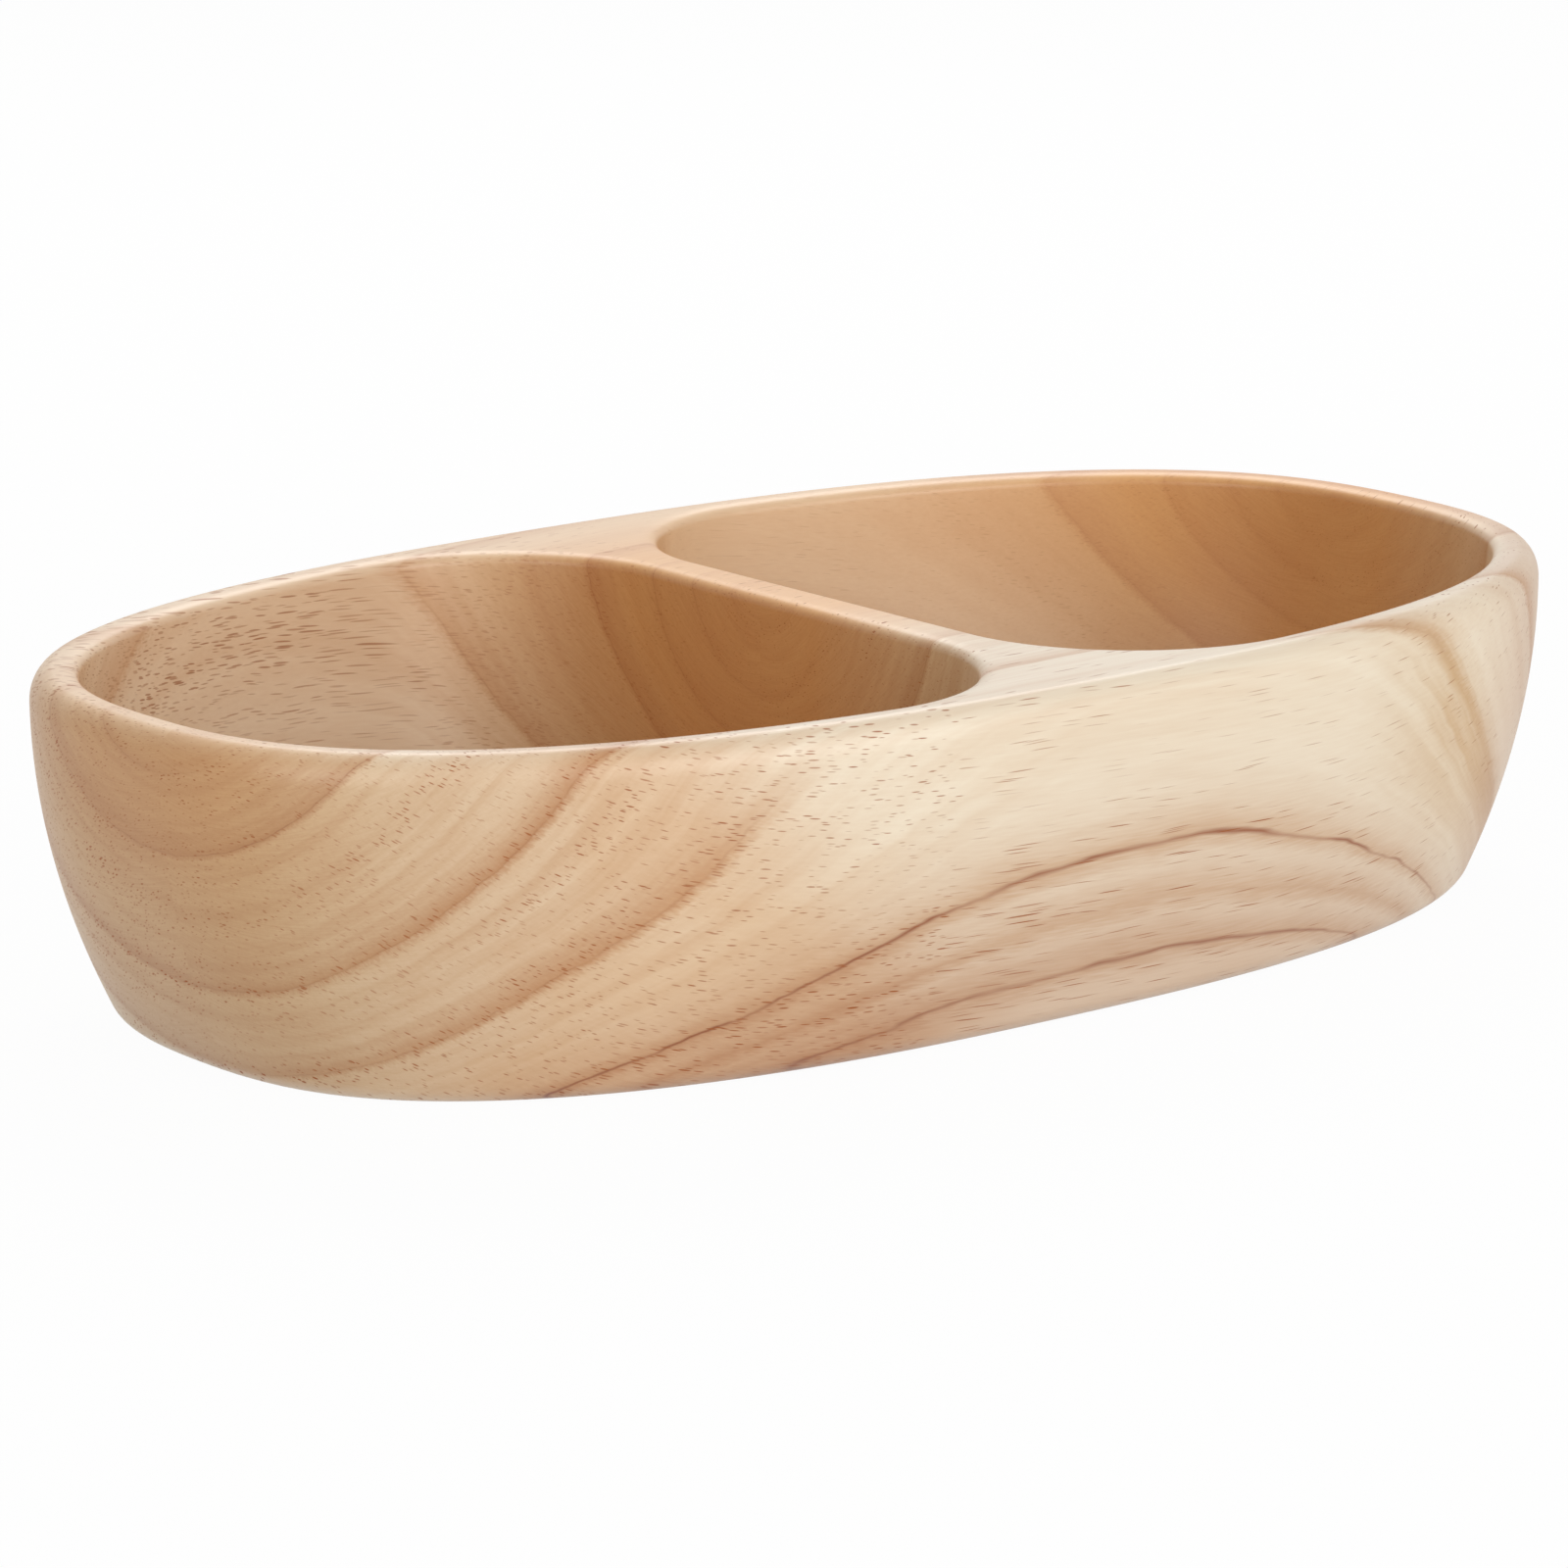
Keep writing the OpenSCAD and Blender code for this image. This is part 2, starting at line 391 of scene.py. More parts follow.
    # The corner, with a point on the ray from its centre to where the two halves' crowns meet
    apex = add(tree, MATH, [half_width, given["Crown Inset"]], operation="SUBTRACT")
    rise = add(tree, MATH, [apex, centre.outputs["Y"]], operation="SUBTRACT")
    run = add(tree, MATH, [centre.outputs["X"], -1], operation="MULTIPLY")
    kink = add(tree, MATH, [rise, run], operation="ARCTAN2")
    first = add(tree, MIX, [web, None, meet, kink])
    angle = add(tree, MIX, [bend, None, first, math.pi])
    angle_x = add(tree, MATH, [angle], operation="COSINE")
    angle_y = add(tree, MATH, [angle], operation="SINE")
    spoke = add(tree, COMBINE, [angle_x, angle_y])
    meet_x = add(tree, MATH, [meet], operation="COSINE")
    meet_y = add(tree, MATH, [meet], operation="SINE")
    meet_spoke = add(tree, COMBINE, [meet_x, meet_y])
    swing = add(tree, VECTORS, [spoke, meet_spoke], operation="SUBTRACT")
    swung = add(tree, VECTORS, [swing, radius, ring], operation="MULTIPLY_ADD")

    # The straight stretch along the dividing wall, and the run in to the middle of the floor
    slid = add(tree, MATH, [face, centre.outputs["Y"]], operation="MULTIPLY")
    slide = add(tree, COMBINE, [0, slid])
    edge = add(tree, VECTORS, [swung, slide], operation="SUBTRACT")
    middle_x = add(tree, MATH, [half_length, FLOOR_MIDDLE], operation="MULTIPLY")
    middle = add(tree, COMBINE, [middle_x])
    level = add(tree, MIX, {0: floor, VECTOR_A: edge, VECTOR_B: middle}, data_type="VECTOR")

    # The crown's own line, and the line midway along the dividing wall's top
    crown_first = add(tree, MIX, [web, None, end_turn, QUARTER_TURN])
    crown_ring = add(
        tree, GROUP,
        {"Turn": crown_first, "Height": given["Height"], "Depth": given["Crown Inset"], **shape},
        node_tree=outline)
    past = add(tree, MATH, [angle, kink], operation="MAXIMUM")
    slant = add(tree, MATH, [past], operation="TANGENT")
    from_centre = add(tree, MATH, [run, slant, centre.outputs["Y"]], operation="MULTIPLY_ADD")
    below_apex = add(tree, MATH, [from_centre, apex], operation="SUBTRACT")
    midline = add(tree, MATH, [below_apex, slid], operation="SUBTRACT")
    midway = add(tree, COMBINE, [0, midline])
    crown_line = add(tree, VECTORS, [crown_ring, midway], operation="ADD")
    surface = add(tree, MIX, {0: top, VECTOR_A: crown_line, VECTOR_B: level}, data_type="VECTOR")
    lift = add(tree, COMBINE, [0, 0, height])
    place = add(tree, VECTORS, [surface, lift], operation="ADD")
    inside = add(tree, "GeometryNodeSetPosition", {"Geometry": grid, "Position": place})

    # The quarter is mirrored across the length, and then the half along it
    whole = add(tree, "GeometryNodeJoinGeometry", [outside])
    tree.links.new(inside.outputs[0], whole.inputs[0])
    for scale in ((1, -1, 1), (-1, 1, 1)):
        turned = add(tree, "GeometryNodeTransform", {"Geometry": whole, "Scale": scale})
        flipped = add(tree, "GeometryNodeFlipFaces", [turned])
        both = add(tree, "GeometryNodeJoinGeometry", [whole])
        tree.links.new(flipped.outputs[0], both.inputs[0])
        whole = both
    closed = add(tree, "GeometryNodeMergeByDistance", {"Geometry": whole, "Distance": MERGE})
    smooth = add(tree, "GeometryNodeSetShadeSmooth", [closed])
    solid = add(tree, "GeometryNodeRealizeInstances", [smooth])
    finished = add(
        tree, "GeometryNodeSetMaterial", {"Geometry": solid, "Material": given["Timber"]})
    give(tree, {"Mesh": finished})
    return tree


def plain_mesh(name, tree, values):
    """Evaluates a tree with its inputs and keeps the result as a plain mesh object."""
    holder = bpy.data.objects.new(name + "_source", bpy.data.meshes.new(name + "_source"))
    bpy.context.scene.collection.objects.link(holder)
    modifier = holder.modifiers.new(tree.name, "NODES")
    modifier.node_group = tree
    sockets = {
        item.name: item.identifier for item in tree.interface.items_tree
        if item.in_out == "INPUT"}
    for label, value in values.items():
        modifier[sockets[label]] = value
    holder.update_tag()
    graph = bpy.context.evaluated_depsgraph_get()
    mesh = bpy.data.meshes.new_from_object(holder.evaluated_get(graph))
    mesh.name = name
    # The holder's own empty slot comes before the timber
    while mesh.materials[0] is None:
        mesh.materials.pop(index=0)
    made = bpy.data.objects.new(name, mesh)
    bpy.context.scene.collection.objects.link(made)
    holder.modifiers.remove(modifier)
    bpy.data.objects.remove(holder)
    return made


# Growth rings, in millimetres from the middle of the tree: where a ring ends, the width over which
# its wood darkens up to there, how dark it gets, and how strong the thin line at its end is
RINGS = (
    (12, 3, 0.12, 0.10), (22, 5, 0.20, 0.40), (33.5, 6, 0.25, 0.45), (49.3, 8, 0.50, 0.45),
    (60, 6, 0.12, 0.0), (74.4, 6, 0.66, 0.25), (79.5, 3, 0.16, 0.0), (90, 6, 0.62, 0.22),
    (102.6, 3.5, 0.50, 0.85), (105.6, 2.4, 0.48, 0.05), (108.6, 2.6, 0.50, 0.70),
    (114, 4, 0.5, 0.5))
# How the wood darkens up to a ring's end, how soon it drops back, and half the line's width
RING_POWER = 1.7
RING_FADE = 1.2
LINE_WIDTH = 0.2
# Rings inside this radius show little on the near side of the tree's middle
FAINT_RADIUS = 45
# The ring that blurs away as it climbs the near side
CLIMBING_RADIUS = 90
# The middle of the tree runs above the bowl, turned and tipped a little, and bows as it goes
PITH_PLACE = (0, 8.5, 76.8)
PITH_TURN = (0, 4.6, 5.9)
PITH_BOW = (0, 2.8, 1.0)
PITH_TAPER = 0.0009
# How the rings tip along the tree, against its second and its first power
PITH_TIP = (-0.057, -0.115)
# Nearer the middle the rings stand taller than they are wide, most of all midway along the bowl
TALL_RADIUS = 88
TALL_SHARE = 0.8
TALL_REACH = 110
# How strongly the bands and the lines of the rings show behind the tree's middle
BANDS_BEHIND = 0.68
LINES_BEHIND = 0.6
# How far the fibres rise on the near side, against the fourth and the first power of the place
# along the bowl, and on the far side, against the second and the first
NEAR_RISE = (9.5, -3)
FAR_RISE = (-2.5, -12)
# How far they swerve sideways, from the fourth power down to the first
FIBRE_SWERVE = (1.25, -0.67, 2.5, 4)
# The way the fibres run
FIBRE_RUN = (0.992, 0.12, -0.03)
# How finely each random pattern is drawn, per millimetre along the tree and twice across it
WANDER_SCALE = (0.012, 0.03, 0.03)
QUIVER_SCALE = (0.05, 0.2, 0.2)
FEATHER_SCALE = (0.15, 2.5, 2.5)
STRAY_SCALE = (0.05, 0.25, 0.25)
STREAK_SCALE = (0.06, 1.7, 1.7)
CLOUD_SCALE = (0.012, 0.045, 0.045)
# The same for those that follow the rings: outwards, round the tree and along it
LAYER_SCALE = (0.5, 0.8, 0.9)
STRIP_SCALE = (0.22, 0.6, 0.5)
STRIP_SHIFT = (7, 3, 5)
RAY_SCALE = (0.16, 1.3, 0.25)
# How detailed and how rough the finer of them are
LAYER_DETAIL = (3, 0.6)
STREAK_DETAIL = (4, 0.6)
RAY_DETAIL = (3, 0.65)
NOISE_MIDDLE = 0.5
# How far the rings wander, quiver and feather, and the fibres stray, in millimetres
WANDER = 2.4
QUIVER = 0.9
FEATHER = 1.5
STRAY = 1.2
# The vessels grow longer past these places along the bowl, each by its share. Towards the far
# side they grow longer too, out from a point this far to the left of the bowl's middle
LONGER_PAST = ((-95, 0.4), (-35, 0.46))
PORE_START = 135
# How many vessels follow each other in a millimetre, and their height against their width
PORE_RUN = 0.4
PORE_FLATNESS = 0.33
# The lacquer, and how much rougher and how many millimetres deeper it is over a vessel
LACQUER_IOR = 1.5
PORE_ROUGHNESS = 0.2
PORE_DENT = 0.03
PORE_DENT_SHARE = 0.5
# The least and the most of a vessel's full width and darkness, what a ring's end adds to both, and
# the share of the width over which its edge is soft
PORE_WIDTHS = (0.65, 1.05)
PORE_SHADES = (0.35, 0.85)
RING_WIDER = 0.15
RING_DARKER = 0.25
PORE_EDGE = 0.4
# How much the clouds warm the wood, and how strongly layers, streaks and rays tint it
CLOUD_WARMTH = 0.28
LAYER_TINT = 0.28
STREAK_TINT = 0.1
RAY_TINT = 0.22
# What changes from place to place. Each goes from its third number to its fourth between the two
# places given first. Along the tree, in millimetres
RIGHTWARD = (10, 90, 0, 1)
LEFTWARD = (50, 20, 0, 1)
DEEPER = (55, 80, 1, 0.12)
FADED = (60, 110, 1, 0.3)
CALMER = (-30, 30, 1, 0.4)
THINNER = (-60, 20, 1, 0.72)
FAINTER = (-60, 20, 0.28, 0.75)
RIGHTMOST = (80, 115, 0, 0.12)
WARM_LEFT = (-136, -106, 0, 0.9)
HEART_LEFT = (-128, -88, 0.6, 1)
# Where the painted sheen of light from the right spreads over the right end's outward faces
RIGHT_END_SHEEN = (90, 110, 0, 0.8)
MOTTLED_RIGHT = (50, 78, 0, 1)
# Across it
BEHIND_SHIFT = (0, 40, 0, 9)
NEARER = (0, -50, 0, 1)
FAR_SIDE = (-75, 70, 0, 1)
CLEAR = (-12, 12, 0.2, 1)
LONGER = (-20, 30, 1, 0.26)
FULLER = (-10, 30, 1, 1.3)
FAR_PORES = (-10, 30, 0, 1)
FARTHER = (-62, -15, 0.1, 1)
# Up from the bowl's foot, and the same with the place along the tree added
CLIMB = (40, 58, 0, 0.9)
WARM_RIGHT = (-8, -52, 0, 1)
# Out from the tree's middle, and from the end of the nearest ring
INWARD = (100, 40, 0, 1)
OUTSIDE = (97, 108, 0, 1)
MOTTLE_START = (87, 90, 0, 1)
MOTTLE_END = (91, 101, 1, 0)
RING_EDGE = (0.5, 3, 1, 0)
# With how squarely the surface cuts the fibres
END_CUT = (0.4, 0.95, 0, 1)
OUTWARD = (-0.25, -0.05, 0, 1)
# With a random pattern
PATCHY = (0.38, 0.62, 0.5, 1.1)
LAYERS = (0.4, 0.68, 0, 1)
SPOTTED = (0.35, 0.6, 0.45, 1)
STRIPS = (0.38, 0.54, 0.5, 1)
CLOUDS = (0.35, 0.65, 0, 1)
STREAKS = (0.35, 0.7, 0, 1)
RAYS = (0.4, 0.75, 0, 1)


def pattern(tree, place, scale, detail=1, roughness=0.5, shift=(0, 0, 0)):
    """A soft random pattern, as fine along each direction as its scale says."""
    mapped = add(tree, MAPPING, [place, shift, None, scale])
    return add(
        tree, "ShaderNodeTexNoise",
        {"Vector": mapped, "Scale": 1, "Detail": detail, "Roughness": roughness})


def product(tree, *parts):
    """The product of shares. Each is a share, or a value and what it does from place to place."""
    whole = None
    for part in parts:
        if isinstance(part, tuple):
            value, change = part
            part = add(tree, RANGE, [value, *change])
        whole = part if whole is None else add(
            tree, MATH, [whole, part], operation="MULTIPLY")
    return whole


def trunk_place(tree, spot):
    """Where a spot lies in the tree, in millimetres: along it, across it, above its middle, and
    out from the middle."""
    turn = [math.radians(angle) for angle in PITH_TURN]
    trunk = add(
        tree, MAPPING, [spot, [c * MM for c in PITH_PLACE], turn, (MM, MM, MM)],
        vector_type="TEXTURE")
    along = add(tree, SEPARATE, [trunk]).outputs["X"]
    reach = add(tree, MATH, [along, HUNDREDTH], operation="MULTIPLY")
    bow = add(tree, MATH, [reach, reach], operation="MULTIPLY")
    bowed = add(tree, VECTORS, {0: PITH_BOW, "Scale": bow}, operation="SCALE")
    straight = add(tree, VECTORS, [trunk, bowed], operation="ADD")
    axes = add(tree, SEPARATE, [straight])
    across = axes.outputs["Y"]
    above = axes.outputs["Z"]

    # Taller rings near the middle
    flat = add(tree, COMBINE, [0, across, above])
    raw = add(tree, VECTORS, [flat], operation="LENGTH")
    near = add(tree, RANGE, [raw, 0, TALL_RADIUS, 1, 0])
    heart_share = add(tree, MATH, [near, near], operation="MULTIPLY")
    far = add(tree, MATH, [along], operation="ABSOLUTE")
    midway = add(
        tree, RANGE, [far, 0, TALL_REACH, TALL_SHARE, 0], interpolation_type="SMOOTHSTEP")
    squash = add(tree, MATH, [heart_share, midway], operation="MULTIPLY")
    kept = add(tree, MATH, [1, squash], operation="SUBTRACT")
    level = add(tree, MATH, [above, kept], operation="MULTIPLY")
    ring_vector = add(tree, COMBINE, [0, across, level])
    rounded = add(tree, VECTORS, [ring_vector], operation="LENGTH")

    # A trunk that tapers and tips
    taper = add(tree, MATH, [along, PITH_TAPER, 1], operation="MULTIPLY_ADD")
    tapered = add(tree, MATH, [rounded, taper], operation="DIVIDE")
    tip = add(tree, MATH, [reach, *PITH_TIP], operation="MULTIPLY_ADD")
    tip_here = add(tree, MATH, [tip, reach], operation="MULTIPLY")
    tipped = add(tree, MATH, [tip_here, above, tapered], operation="MULTIPLY_ADD")

    # The far side of the right half has grown less, so its rings lie closer to the middle
    behind = add(tree, RANGE, [across, *BEHIND_SHIFT])
    rightward = add(tree, RANGE, [along, *RIGHTWARD], interpolation_type="SMOOTHSTEP")
    radius = add(tree, MATH, [behind, rightward, tipped], operation="MULTIPLY_ADD")
    angle = add(tree, MATH, [across, above], operation="ARCTAN2")
    return SimpleNamespace(
        along=along, reach=reach, straight=straight, across=across, above=above, angle=angle,
        radius=radius, nearer=add(tree, RANGE, [across, *NEARER]))


def fibre_place(tree, spot):
    """The spot in millimetres, and where it lies among the fibres. These run nearly along the
    bowl. On its near side they rise towards both ends, and on its far side they sink towards the
    right."""
    axes = add(tree, SEPARATE, [
        add(tree, VECTORS, {0: spot, "Scale": 1 / MM}, operation="SCALE")])
    x, y, z = axes.outputs
    run = add(tree, MATH, [x, HUNDREDTH], operation="MULTIPLY")
    square = add(tree, MATH, [run, run], operation="MULTIPLY")
    fourth = add(tree, MATH, [square, square], operation="MULTIPLY")
    rises = []
    for power, (curve, slope) in ((fourth, NEAR_RISE), (square, FAR_RISE)):
        sloped = add(tree, MATH, [run, slope], operation="MULTIPLY")
        rises.append(add(tree, MATH, [power, curve, sloped], operation="MULTIPLY_ADD"))
    far_side = add(tree, RANGE, [y, *FAR_SIDE])
    rise_here = add(tree, MIX, [far_side, None, *rises])
    level = add(tree, MATH, [z, rise_here], operation="SUBTRACT")
    swerve = FIBRE_SWERVE[0]
    for power in FIBRE_SWERVE[1:]:
        swerve = add(tree, MATH, [run, swerve, power], operation="MULTIPLY_ADD")
    swerved = add(tree, MATH, [run, swerve], operation="MULTIPLY")
    side = add(tree, MATH, [y, swerved], operation="SUBTRACT")
    return SimpleNamespace(x=x, y=y, z=z, place=add(tree, COMBINE, [x, side, level]))


def ring_marks(tree, trunk, fibres):
    """The growth rings: how dark their wood and how strong their lines are, and the fine layers
    between them."""
    # Slow wander of the rings, then a finer one, and last a feathering along the fibres
    slow_noise = pattern(tree, trunk.straight, WANDER_SCALE)
    fine_noise = pattern(tree, trunk.straight, QUIVER_SCALE, 2)
    feather_noise = pattern(tree, fibres.place, FEATHER_SCALE)
    radii = [trunk.radius]
    for noise, most in ((slow_noise, WANDER), (fine_noise, QUIVER), (feather_noise, FEATHER)):
        swing = add(tree, MATH, [noise, NOISE_MIDDLE], operation="SUBTRACT")
        radii.append(add(tree, MATH, [swing, most, radii[-1]], operation="MULTIPLY_ADD"))
    radius, feathered = radii[2:]

    # The climbing ring is lost high up on the left half, and pale towards the right end
    clear = add(tree, RANGE, [trunk.across, *CLEAR])
    lost = product(tree, (fibres.z, CLIMB), (trunk.along, LEFTWARD))
    left_over = add(tree, MATH, [1, lost], operation="SUBTRACT")
    climbed = product(tree, left_over, (trunk.along, DEEPER))

    # Each ring darkens slowly up to its end and then drops back
    bands, lines, nearest = None, None, None
    for end, width, depth, strength in RINGS:
        rise = add(tree, RANGE, [feathered, end - width, end, 0, 1])
        swell = add(tree, MATH, [rise, RING_POWER], operation="POWER")
        fall = add(tree, RANGE, [feathered, end, end + RING_FADE, depth, 0])
        band = add(tree, MATH, [swell, fall], operation="MULTIPLY")
        off = add(tree, MATH, [radius, end], operation="SUBTRACT")
        gap = add(tree, MATH, [off], operation="ABSOLUTE")
        line = add(tree, RANGE, [gap, 0, LINE_WIDTH, strength, 0])
        shown = clear if end < FAINT_RADIUS else climbed if end == CLIMBING_RADIUS else None
        if shown is not None:
            band = product(tree, band, shown)
            line = product(tree, line, shown)
        if nearest is None:
            bands, lines, nearest = band, line, gap
            continue
        bands = add(tree, MATH, [bands, band], operation="MAXIMUM")
        lines = add(tree, MATH, [lines, line], operation="MAXIMUM")
        nearest = add(tree, MATH, [nearest, gap], operation="MINIMUM")

    # Rings show less behind the tree's middle, and their lines come and go along the tree
    paler = add(tree, RANGE, [trunk.nearer, 0, 1, BANDS_BEHIND, 1])
    bands = product(tree, bands, paler)
    dimmed = add(tree, RANGE, [trunk.nearer, 0, 1, LINES_BEHIND, 1])
    lines = product(tree, lines, dimmed, (fine_noise, PATCHY), (trunk.along, FADED))

    # Fine layers inside the rings, about 2 mm apart, which are calmer behind and to the right
    place = add(tree, COMBINE, [radius, trunk.angle, trunk.reach])
    spots = pattern(tree, place, LAYER_SCALE, *LAYER_DETAIL)
    layers = product(tree, (spots, LAYERS), (trunk.along, CALMER), paler)
    return SimpleNamespace(
        radius=radius, feathered=feathered, bands=bands, lines=lines, nearest=nearest,
        place=place, spots=spots, layers=layers)


def pore_marks(tree, look, fibres, rings):
    """The vessels, which show as short dashes along the fibres and wander a little. Each is
    flattened across the tree, and towards the right they grow longer."""
    stray_noise = pattern(tree, fibres.place, STRAY_SCALE)
    stray = add(
        tree, VECTORS, [stray_noise.outputs["Color"], [NOISE_MIDDLE] * 3], operation="SUBTRACT")
    strayed = add(
        tree, VECTORS, [stray, (0, STRAY, STRAY), fibres.place], operation="MULTIPLY_ADD")
    stray_axes = add(tree, SEPARATE, [strayed])
    stretch = fibres.x
    for start, share in LONGER_PAST:
        past = add(tree, MATH, [fibres.x, start], operation="MAXIMUM")
        stretch = add(tree, MATH, [past, -share, stretch], operation="MULTIPLY_ADD")
    from_end = add(tree, MATH, [stretch, PORE_START], operation="ADD")
    stretched = product(tree, from_end, (fibres.y, LONGER))
    place = add(tree, COMBINE, [stretched, stray_axes.outputs["Y"], stray_axes.outputs["Z"]])
    spacing = look.pore_spacing / MM
    cells = add(
        tree, MAPPING,
        [place, None, None, (PORE_RUN, PORE_FLATNESS / spacing, 1 / spacing)])
    vessels = add(
        tree, "ShaderNodeTexVoronoi", {"Vector": cells, "Scale": 1, "Randomness": 1},
        feature="F1")
    pick = add(tree, "ShaderNodeSeparateColor", [vessels.outputs["Color"]])

    # Those near the end of a ring are wider and darker, and some layers of the wood hold few
    ring_edge = add(tree, RANGE, [rings.nearest, *RING_EDGE])
    strip_noise = pattern(tree, rings.place, STRIP_SCALE, shift=STRIP_SHIFT)
    widest = look.pore_width / look.pore_spacing / 2
    radius = add(tree, RANGE, [pick, 0, 1, *(widest * share for share in PORE_WIDTHS)])
    ringed = add(tree, MATH, [ring_edge, RING_WIDER * widest, radius], operation="MULTIPLY_ADD")
    grown = product(tree, ringed, (fibres.x, THINNER), (fibres.y, FULLER))
    shade = add(tree, RANGE, [pick.outputs["Green"], 0, 1, *PORE_SHADES])
    dark = add(tree, MATH, [ring_edge, RING_DARKER, shade], operation="MULTIPLY_ADD")
    inside = add(tree, MATH, [grown, vessels], operation="SUBTRACT")
    edge = add(tree, RANGE, [inside, 0, widest * PORE_EDGE, 0, 1])

    # On the far side they show less, least of all towards the right
    hidden = product(tree, (fibres.x, FAINTER), (fibres.y, FAR_PORES))
    shown = add(tree, MATH, [1, hidden], operation="SUBTRACT")
    return product(tree, edge, dark, (strip_noise, STRIPS), shown)


def wood_colour(tree, look, trunk, fibres, rings, normal):
    """The colour of the wood between its pores: clouds, then what tints them one by one."""
    # Where the surface cuts square across the fibres. Inside the right end the wood is clearer
    facing = add(tree, VECTORS, [normal, FIBRE_RUN], operation="DOT_PRODUCT").outputs["Value"]
    cut = add(tree, MATH, [facing], operation="ABSOLUTE")
    # 1 on the outside of the right end, and 0 inside it, where the surface faces back
    outward = add(tree, RANGE, [facing, *OUTWARD])
    rightmost = add(tree, RANGE, [trunk.along, *RIGHTMOST])
    inner_end = add(tree, RANGE, [outward, 0, 1, rightmost, 0])
    clearer = add(tree, MATH, [1, inner_end], operation="SUBTRACT")
    end_grain = product(tree, (cut, END_CUT), clearer)

    # Straw-coloured clouds, closer together low on the near side of the left half
    cloud_noise = pattern(tree, trunk.straight, CLOUD_SCALE, 3)
    clouds = add(tree, RANGE, [cloud_noise, *CLOUDS])
    slant = add(tree, MATH, [fibres.z, trunk.along], operation="ADD")
    warm_right = add(tree, RANGE, [slant, *WARM_RIGHT], interpolation_type="SMOOTHSTEP")
    warm_near = product(tree, (trunk.along, WARM_LEFT), warm_right, trunk.nearer)
    warmth = add(
        tree, MATH, [clouds, CLOUD_WARMTH, warm_near], operation="MULTIPLY_ADD",
        use_clamp=True)
    wood = add(
        tree, MIX, {0: warmth, COLOUR_A: look.pale_wood, COLOUR_B: look.straw_wood},
        data_type="RGBA")

    # The warm heart of the tree, on the far side
    heart = product(
        tree, (rings.radius, INWARD), (trunk.across, FARTHER), (trunk.along, HEART_LEFT))

    # The paler outside of the tree, which is the wood's own tone, and a painted sheen on the
    # outward faces of the right end: a pinker, paler tint that stands in for light falling from the
    # right
    outside = add(tree, RANGE, [rings.radius, *OUTSIDE])
    painted_end_sheen = product(tree, (trunk.along, RIGHT_END_SHEEN), outward)
    outer_and_sheen = add(tree, MATH, [outside, painted_end_sheen], operation="MAXIMUM")

    # Tan spots behind the climbing ring, on the outside of the right end
    mottle = product(
        tree, (rings.feathered, MOTTLE_START), (rings.feathered, MOTTLE_END), outward,
        (rings.spots, SPOTTED), (trunk.along, MOTTLED_RIGHT))

    # Silky fibre streaks, drawn a little coarser than real fibres so that they show
    streak_noise = pattern(tree, fibres.place, STREAK_SCALE, *STREAK_DETAIL)
    streaks = add(tree, RANGE, [streak_noise, *STREAKS])
    # Rays: fine lines square to the rings, which show on end grain
    ray_arc = add(tree, MATH, [trunk.angle, trunk.radius], operation="MULTIPLY")
    ray_place = add(tree, COMBINE, [rings.radius, ray_arc, trunk.along])
    ray_noise = pattern(tree, ray_place, RAY_SCALE, *RAY_DETAIL)
    end_rays = product(tree, (ray_noise, RAYS), end_grain)

    # What tints the wood, in order: where, with what, and how strongly
    for share, tint, most in (
            (heart, look.heart_tint, 1),
            (end_grain, look.end_tint, 1),
            (outer_and_sheen, look.outer_and_sheen_tint, 1),
            (mottle, look.tan_tint, 1),
            (rings.bands, look.late_tint, 1),
            (rings.lines, look.line_tint, 1),
            (rings.layers, look.late_tint, LAYER_TINT),
            (streaks, look.late_tint, STREAK_TINT),
            (end_rays, look.late_tint, RAY_TINT)):
        amount = add(tree, MATH, [share, most], operation="MULTIPLY")
        wood = add(
            tree, MIX, {0: amount, COLOUR_A: wood, COLOUR_B: tint},
            data_type="RGBA", blend_type="MULTIPLY")
    return wood


def timber_material(look):
    """Pale straw hardwood, carved, sanded and sealed with a clear satin lacquer. The eye sees
    soft brown growth bands that end in thin lines, short dark pores, browner end grain and a low
    sheen."""
    material = bpy.data.materials.new("satin_lacquered_timber")
    material.use_nodes = True
    tree = material.node_tree
    tree.nodes.clear()
    place = add(tree, "ShaderNodeTexCoord")
    spot = place.outputs["Object"]
    trunk = trunk_place(tree, spot)
    fibres = fibre_place(tree, spot)
    rings = ring_marks(tree, trunk, fibres)
    pores = pore_marks(tree, look, fibres, rings)
    wood = wood_colour(tree, look, trunk, fibres, rings, place.outputs["Normal"])
    wood = add(
        tree, MIX, {0: pores, COLOUR_A: wood, COLOUR_B: look.pore_colour}, data_type="RGBA")

    # Lacquer bridges most pores, so they dent it only a little
    relief = add(tree, MATH, [pores, -1], operation="MULTIPLY")
    bump = add(
        tree, "ShaderNodeBump",
        {"Strength": PORE_DENT_SHARE, "Distance": PORE_DENT * MM, "Height": relief})
    rough = add(
        tree, RANGE, [pores, 0, 1, look.roughness, look.roughness + PORE_ROUGHNESS])
    skin = add(
        tree, "ShaderNodeBsdfPrincipled",
        {"Base Color": wood, "Roughness": rough, "IOR": LACQUER_IOR, "Normal": bump})
    add(tree, "ShaderNodeOutputMaterial", [skin])
    return material


